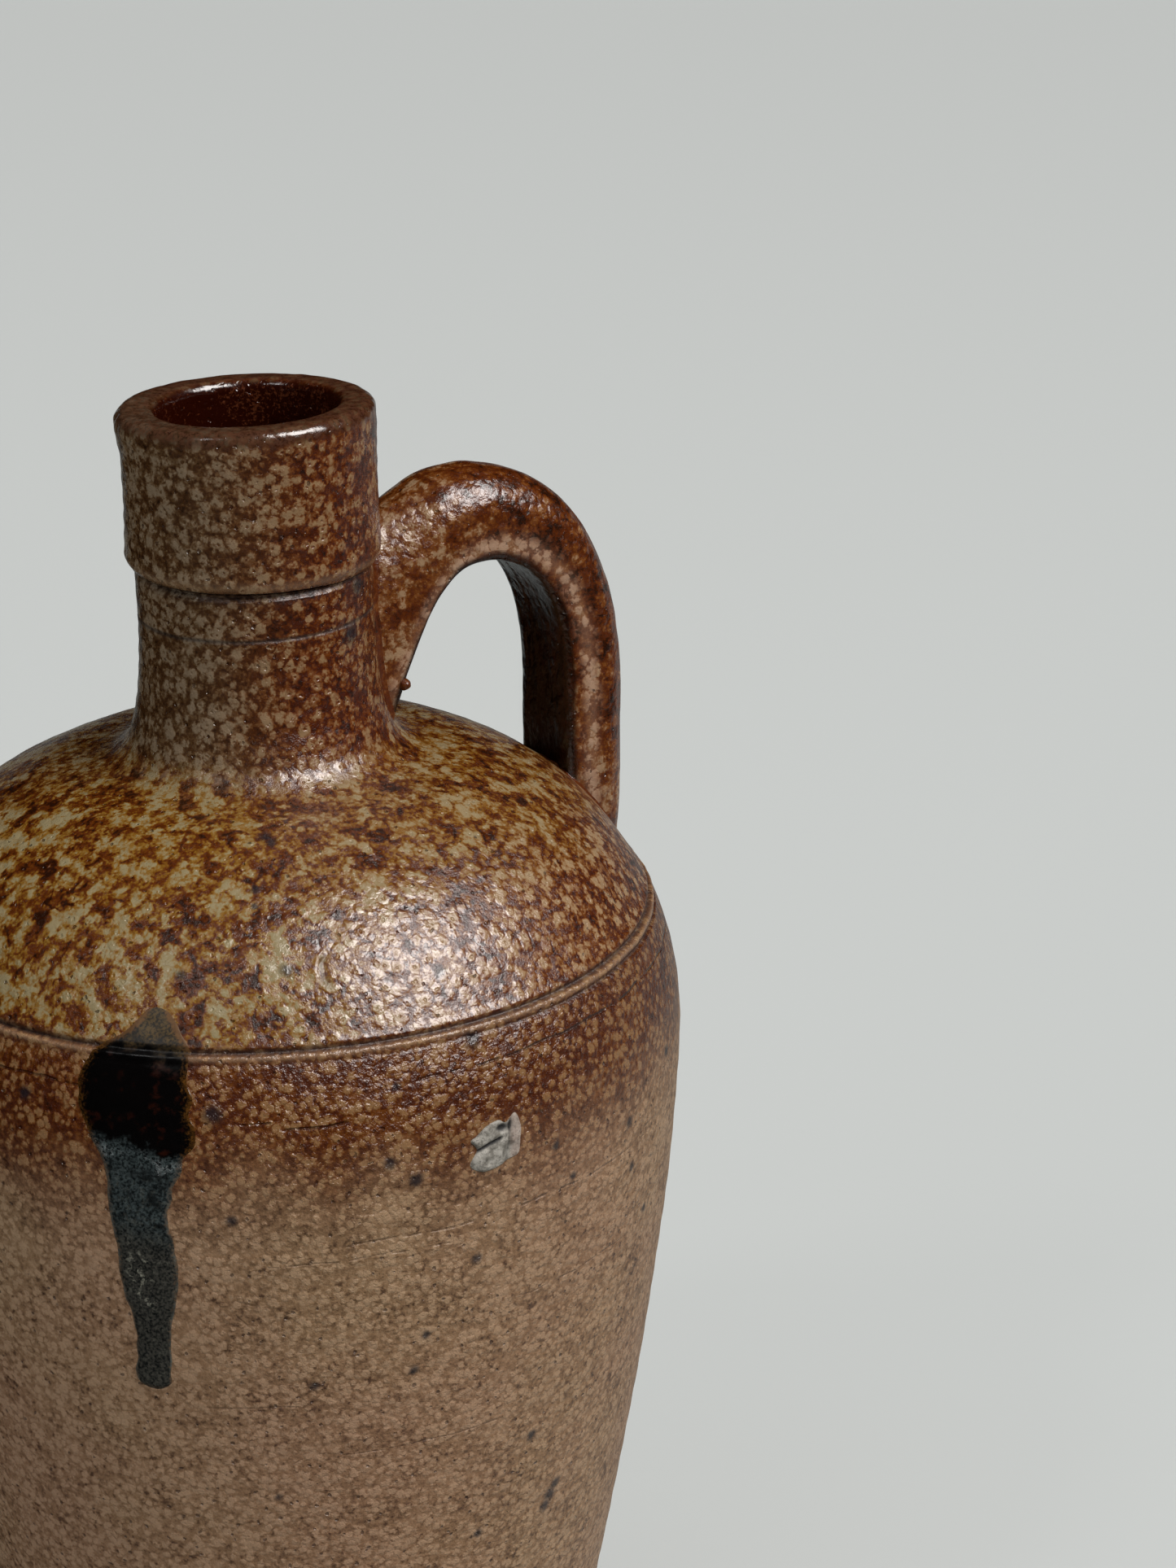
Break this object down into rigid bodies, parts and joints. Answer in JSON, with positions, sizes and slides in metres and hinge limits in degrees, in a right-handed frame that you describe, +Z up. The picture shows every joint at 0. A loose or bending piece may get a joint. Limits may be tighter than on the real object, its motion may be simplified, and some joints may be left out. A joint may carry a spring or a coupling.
{
  "type": "handled stoneware sake bottle",
  "caption": "Tall round-shouldered salt-glazed stoneware bottle with a short collared neck, an open mouth and a finger-loop strap handle.",
  "frame": {"origin": "centre of the foot on the plane that the bottle stands on", "axes": "+Z up along the axis of the bottle, +X from the axis towards the handle"},
  "size_m": [0.1348, 0.1355, 0.25],
  "materials": {
    "belly_salt_glaze": "satin pinkish-tan salt glaze with fine speckle",
    "shoulder_salt_glaze": "glossy mottled rust and pale grey salt glaze",
    "neck_salt_glaze": "satin grey-brown salt glaze with orange-peel texture",
    "handle_salt_glaze": "glossy rust-brown salt glaze",
    "luting_clay": "dark brown glazed clay seam",
    "dark_glaze": "glossy blue-black glaze",
    "kiln_grit": "dull grey cracked grit"
  },
  "bodies": {
    "root": {"body": "belly_salt_glaze", "shoulder": "shoulder_salt_glaze", "neck": "neck_salt_glaze", "collar": "neck_salt_glaze", "handle": "handle_salt_glaze", "upper_luting": "luting_clay", "lower_luting": "luting_clay", "slip_bead": "luting_clay", "glaze_run": "dark_glaze", "kiln_flake": "kiln_grit"}
  },
  "joints": []
}
